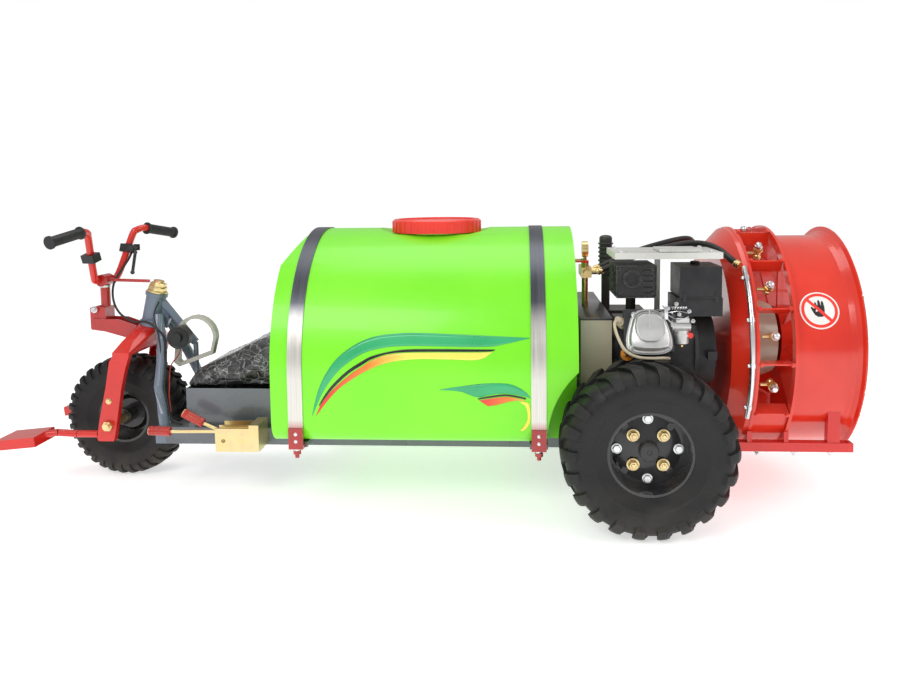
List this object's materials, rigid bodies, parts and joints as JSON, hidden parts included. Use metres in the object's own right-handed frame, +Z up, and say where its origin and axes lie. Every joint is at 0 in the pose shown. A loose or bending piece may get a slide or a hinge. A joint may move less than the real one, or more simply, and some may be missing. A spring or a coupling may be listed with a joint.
{
  "type": "ride-on orchard sprayer",
  "caption": "Three-wheeled ride-on air-blast orchard sprayer with a steered front fork, saddle seat, moulded tank, petrol engine, pump and ducted rear fan.",
  "frame": {"origin": "middle of the bounding box's footprint, on the ground", "axes": "+X towards the machine's rear, +Y towards its right-hand side seen from the seat facing the front wheel, +Z up; Y = 0 is the centre plane"},
  "size_m": [2.498, 1.006, 0.8139],
  "materials": {
    "frame_paint": "dark grey gloss paint on welded tube",
    "neck_paint": "slate grey paint",
    "bare_strip": "grey-beige painted steel strip",
    "black_plastic": "moulded black plastic",
    "seat_vinyl": "black vinyl under clear film",
    "yellow_zinc": "yellow passivated zinc plate",
    "green_poly": "bright green moulded polyethylene",
    "strap_steel": "stainless strip and tube",
    "dark_red_paint": "dark red paint",
    "white_plastic": "white moulded plastic",
    "engine_black": "black painted casting",
    "cast_alloy": "die-cast aluminium",
    "muffler_black": "heat-resistant matt black paint",
    "pale_sheet": "pale grey folded sheet",
    "brass": "turned brass",
    "tan_paint": "beige-tan paint",
    "cast_grey": "grey casting",
    "fan_red": "glossy red-orange paint",
    "frame_red": "glossy red paint",
    "black_steel": "black coated steel",
    "black_rubber": "black rubber",
    "tyre_rubber": "moulded tyre rubber with lugs",
    "rim_black": "black painted pressed rim",
    "red_plastic": "red moulded plastic",
    "valve_red": "red painted lever"
  },
  "bodies": {
    "chassis": {"main_rails": "frame_paint", "crossmembers": "frame_paint", "neck_legs": "neck_paint", "head_tube": "neck_paint", "guard_hoop": "bare_strip", "horn": "black_plastic", "seat_box": "frame_paint", "seat_cushion": "seat_vinyl", "battery": "black_plastic", "lever_gate": "yellow_zinc", "tank": "green_poly", "tank_straps": "strap_steel", "strap_bolts": "dark_red_paint", "strainer_basket": "white_plastic", "engine_block": "engine_black", "rocker_cover": "cast_alloy", "muffler": "muffler_black", "air_filter": "black_plastic", "carburettor": "cast_alloy", "recoil_starter": "black_plastic", "engine_top_plate": "pale_sheet", "pump_body": "engine_black", "distributor": "brass", "belt_guard": "tan_paint", "transaxle": "cast_grey", "fan_front_shroud": "fan_red", "fan_duct": "fan_red", "fan_vanes": "fan_red", "deflector_cone": "tan_paint", "spray_manifold": "strap_steel", "nozzles": "brass", "fan_guard": "black_steel", "fan_base": "frame_red", "shaft_bearings": "cast_grey", "hoses": "black_rubber", "belts": "black_rubber", "brake_cable_lower": "black_rubber"},
    "steering": {"fork_crown": "frame_red", "fork_legs": "frame_red", "bar_bracket": "dark_red_paint", "handlebar": "frame_red", "grips": "black_rubber", "foot_pegs": "frame_red", "front_axle": "yellow_zinc", "switch_pod": "black_plastic", "brake_cable_upper": "black_rubber"},
    "brake_lever_body": {"brake_lever": "black_steel"},
    "front_wheel": {"front_tyre": "tyre_rubber", "front_rim": "rim_black"},
    "rear_wheel_left": {"rear_tyre_left": "tyre_rubber", "rear_rim_left": "rim_black"},
    "rear_wheel_right": {"rear_tyre_right": "tyre_rubber", "rear_rim_right": "rim_black"},
    "fan_rotor": {"fan_impeller": "fan_red"},
    "crank": {"crank_pulley": "cast_grey"},
    "pump_drive": {"pump_pulley": "cast_grey"},
    "gear_lever_body": {"gear_lever": "yellow_zinc"},
    "clutch_lever_body": {"clutch_lever": "yellow_zinc"},
    "lid": {"tank_lid": "red_plastic"},
    "valve": {"valve_handle": "valve_red"}
  },
  "joints": [
    {"name": "steer", "type": "hinge", "parent": "chassis", "child": "steering", "pos_m": [-0.862, 0, 0.48], "axis": [0.225, 0, 0.9744], "range_deg": [-25, 25]},
    {"name": "brake_pull", "type": "hinge", "parent": "steering", "child": "brake_lever_body", "pos_m": [-0.93323, 0.05631, 0.726], "axis": [0.2924, 0.9563, 0], "range_deg": [0, 18], "stiffness_Nm_per_rad": 1.5, "springref_deg": -2.86},
    {"name": "front_wheel_spin", "type": "hinge", "parent": "steering", "child": "front_wheel", "pos_m": [-0.94, 0, 0.192], "axis": [0, 1, 0], "continuous": true},
    {"name": "rear_left_spin", "type": "hinge", "parent": "chassis", "child": "rear_wheel_left", "pos_m": [0.653, -0.414, 0.228], "axis": [0, 1, 0], "continuous": true},
    {"name": "rear_right_spin", "type": "hinge", "parent": "chassis", "child": "rear_wheel_right", "pos_m": [0.653, 0.414, 0.228], "axis": [0, 1, 0], "continuous": true},
    {"name": "fan_spin", "type": "hinge", "parent": "chassis", "child": "fan_rotor", "pos_m": [0.653, 0, 0.442], "axis": [1, 0, 0], "continuous": true},
    {"name": "crank_spin", "type": "hinge", "parent": "chassis", "child": "crank", "pos_m": [0.653, -0.19, 0.45], "axis": [1, 0, 0], "continuous": true},
    {"name": "pump_spin", "type": "hinge", "parent": "chassis", "child": "pump_drive", "pos_m": [0.653, 0.225, 0.442], "axis": [1, 0, 0], "continuous": true},
    {"name": "gear_shift", "type": "hinge", "parent": "chassis", "child": "gear_lever_body", "pos_m": [-0.472, -0.26, 0.212], "axis": [0, 1, 0], "range_deg": [0, 35]},
    {"name": "clutch_pull", "type": "hinge", "parent": "chassis", "child": "clutch_lever_body", "pos_m": [-0.531, -0.226, 0.19], "axis": [0, 1, 0], "range_deg": [0, 30]},
    {"name": "lid_lift", "type": "slide", "parent": "chassis", "child": "lid", "axis": [0, 0, 1], "range_m": [0, 0.25]},
    {"name": "valve_turn", "type": "hinge", "parent": "chassis", "child": "valve", "pos_m": [0.526, -0.03, 0.68], "axis": [0, 0, 1], "range_deg": [0, 90]}
  ],
  "couplings": [
    {"joint": "crank_spin", "follows": "fan_spin", "ratio": 1.4211},
    {"joint": "pump_spin", "follows": "fan_spin", "ratio": 1}
  ]
}
